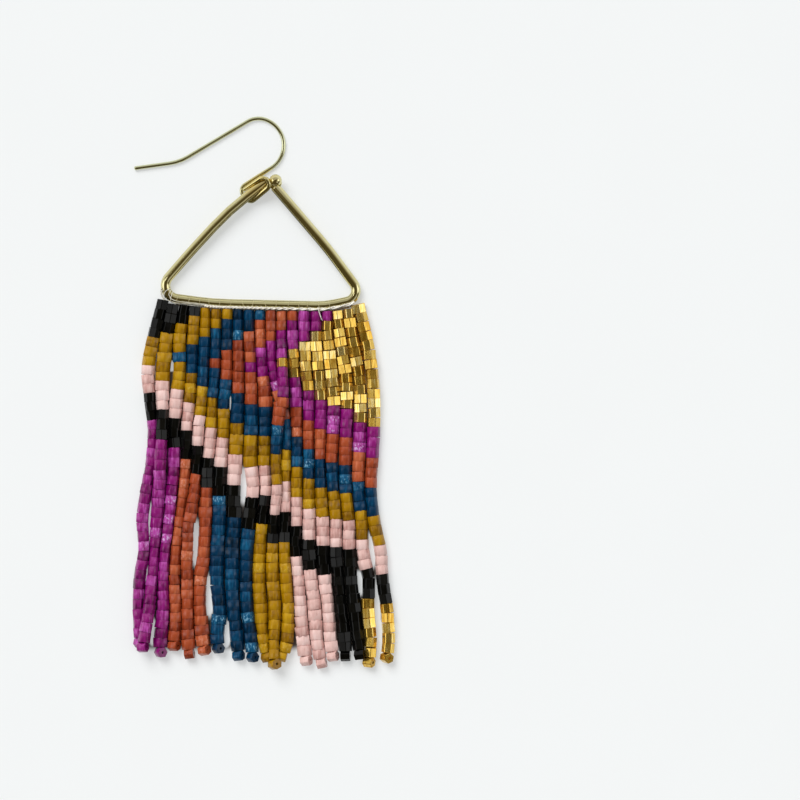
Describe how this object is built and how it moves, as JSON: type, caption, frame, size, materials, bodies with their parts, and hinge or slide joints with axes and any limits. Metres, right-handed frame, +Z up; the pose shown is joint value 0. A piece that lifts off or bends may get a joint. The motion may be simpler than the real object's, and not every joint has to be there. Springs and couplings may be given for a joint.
{
  "type": "beaded dangle earring",
  "caption": "Drop earring lying flat: a bent ear wire with an oblong eye, a triangular wire frame, and a long fringe of cut glass seed beads in nested stripes hung from its bar.",
  "frame": {"origin": "middle of the footprint, on the surface that the earring lies on", "axes": "+X along the frame's bar, towards the gold end of the fringe; +Y from the fringe towards the ear wire; +Z up from the surface"},
  "size_m": [0.048, 0.1015, 0.0039],
  "materials": {
    "ear_wire_metal": "polished, pale gold plate",
    "frame_metal": "polished, pale gold plate",
    "beads_magenta": "opaque, glossy cut glass",
    "beads_rust": "opaque, glossy cut glass",
    "beads_blue": "opaque, glossy cut glass",
    "beads_mustard": "opaque, glossy cut glass",
    "beads_pink": "opaque, glossy cut glass",
    "beads_black": "opaque, glossy cut glass",
    "beads_gold": "metallic gold lining",
    "thread": "fine waxed nylon thread, slightly shiny"
  },
  "bodies": {
    "root": {"ear_hook": "ear_wire_metal", "triangle_frame": "frame_metal", "bead_strand_01": "beads_magenta", "bead_strand_02": "beads_magenta", "bead_strand_03": "beads_magenta", "bead_strand_04": "beads_rust", "bead_strand_05": "beads_rust", "bead_strand_06": "beads_rust", "bead_strand_07": "beads_blue", "bead_strand_08": "beads_blue", "bead_strand_09": "beads_blue", "bead_strand_10": "beads_mustard", "bead_strand_11": "beads_mustard", "bead_strand_12": "beads_mustard", "bead_strand_13": "beads_pink", "bead_strand_14": "beads_pink", "bead_strand_15": "beads_pink", "bead_strand_16": "beads_black", "bead_strand_17": "beads_black", "bead_strand_18": "beads_gold", "bead_strand_19": "beads_gold"}
  },
  "joints": []
}
